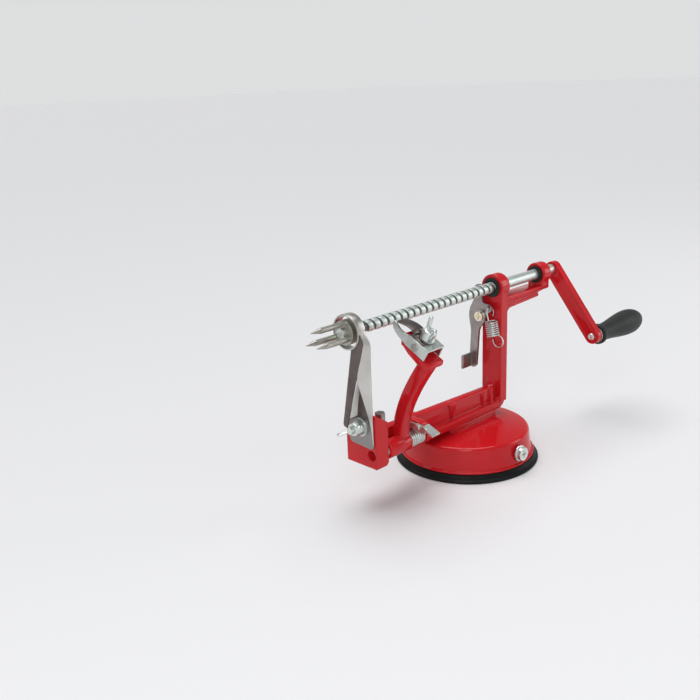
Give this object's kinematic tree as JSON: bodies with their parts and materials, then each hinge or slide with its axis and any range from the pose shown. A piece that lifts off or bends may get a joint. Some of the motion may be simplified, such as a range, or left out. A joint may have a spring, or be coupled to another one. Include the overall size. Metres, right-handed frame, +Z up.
{
  "type": "apple peeler",
  "caption": "Hand cranked apple peeler, corer and slicer on a suction base, with a threaded feed shaft, pronged fork, sprung peeling arm, coring slicer blade, release lever and crank.",
  "frame": {"origin": "centre of the suction cup's rim, on the table", "axes": "+X along the feed screw towards the crank, +Z up, the peeling arm on the -Y side"},
  "size_m": [0.3404, 0.1112, 0.14],
  "materials": {
    "red_enamel": "gloss",
    "rubber": "matte",
    "zinc": "bright zinc plated",
    "stainless": "satin",
    "brass": "bright",
    "black_plastic": "matte"
  },
  "bodies": {
    "base": {"base_cover": "red_enamel", "suction_cup": "rubber", "base_screws": "zinc", "frame": "red_enamel", "lever_pivot_screw": "brass", "lever_washer": "zinc", "release_spring": "zinc", "pivot_rod": "zinc", "pivot_washer": "zinc", "pivot_set_screw": "zinc", "arm_spring": "stainless", "latch_pin": "zinc", "slicer_blade": "stainless", "slicer_stud": "zinc", "slicer_washer": "zinc", "slicer_wing_nut": "zinc"},
    "bushes": {"front_bush": "black_plastic", "rear_bush": "black_plastic"},
    "screw": {"feed_screw": "zinc", "fork_hub": "zinc", "fork_prongs": "zinc", "fork_screw": "zinc", "crank_arm": "red_enamel", "crank_nut": "zinc", "crank_pin": "zinc", "knob_washer": "zinc"},
    "knob": {"crank_knob": "black_plastic"},
    "release": {"release_lever": "stainless"},
    "arm": {"peeler_arm": "red_enamel", "blade_holder": "zinc", "holder_rivet": "zinc", "peeler_blade": "stainless", "blade_stud": "zinc", "blade_washer": "zinc", "blade_wing_nut": "zinc", "catch_pin": "zinc"},
    "latch": {"arm_latch": "zinc"},
    "suction": {"suction_lever": "red_enamel", "lever_axle": "zinc", "lever_pin": "zinc", "axle_washer": "zinc", "axle_screw": "zinc"},
    "stud": {"cup_stud": "zinc"}
  },
  "joints": [
    {"name": "crank_turn", "type": "hinge", "parent": "base", "child": "bushes", "pos_m": [0, 0, 0.128], "axis": [1, 0, 0], "range_deg": [0, 5760]},
    {"name": "feed_travel", "type": "slide", "parent": "bushes", "child": "screw", "axis": [1, 0, 0], "range_m": [0, 0.10401]},
    {"name": "knob_spin", "type": "hinge", "parent": "screw", "child": "knob", "pos_m": [0.118, -0.03971, 0.07717], "axis": [1, 0, 0], "continuous": true},
    {"name": "release_swing", "type": "hinge", "parent": "base", "child": "release", "pos_m": [0.026, 0.0058, 0.106], "axis": [1, 0, 0], "range_deg": [-10, 0], "stiffness_Nm_per_rad": 0.4, "springref_deg": 5.73, "deforming": ["release_spring"]},
    {"name": "arm_swing", "type": "hinge", "parent": "base", "child": "arm", "pos_m": [-0.087, -0.0128, 0.0418], "axis": [1, 0, 0], "range_deg": [0, 50], "stiffness_Nm_per_rad": 0.12, "springref_deg": -34.38},
    {"name": "latch_drop", "type": "hinge", "parent": "base", "child": "latch", "pos_m": [-0.08, -0.0212, 0.0536], "axis": [1, 0, 0], "range_deg": [-10, 0]},
    {"name": "suction_turn", "type": "hinge", "parent": "base", "child": "suction", "pos_m": [0, 0, 0.0153], "axis": [0, -1, 0], "range_deg": [0, 90]},
    {"name": "cup_lift", "type": "slide", "parent": "base", "child": "stud", "axis": [0, 0, -1], "range_m": [0, 0.002], "deforming": ["suction_cup"]}
  ],
  "couplings": [
    {"joint": "feed_travel", "follows": "crank_turn", "m_per_rad": 0.0010345},
    {"joint": "suction_turn", "follows": "cup_lift", "rad_per_m": 785.39}
  ]
}
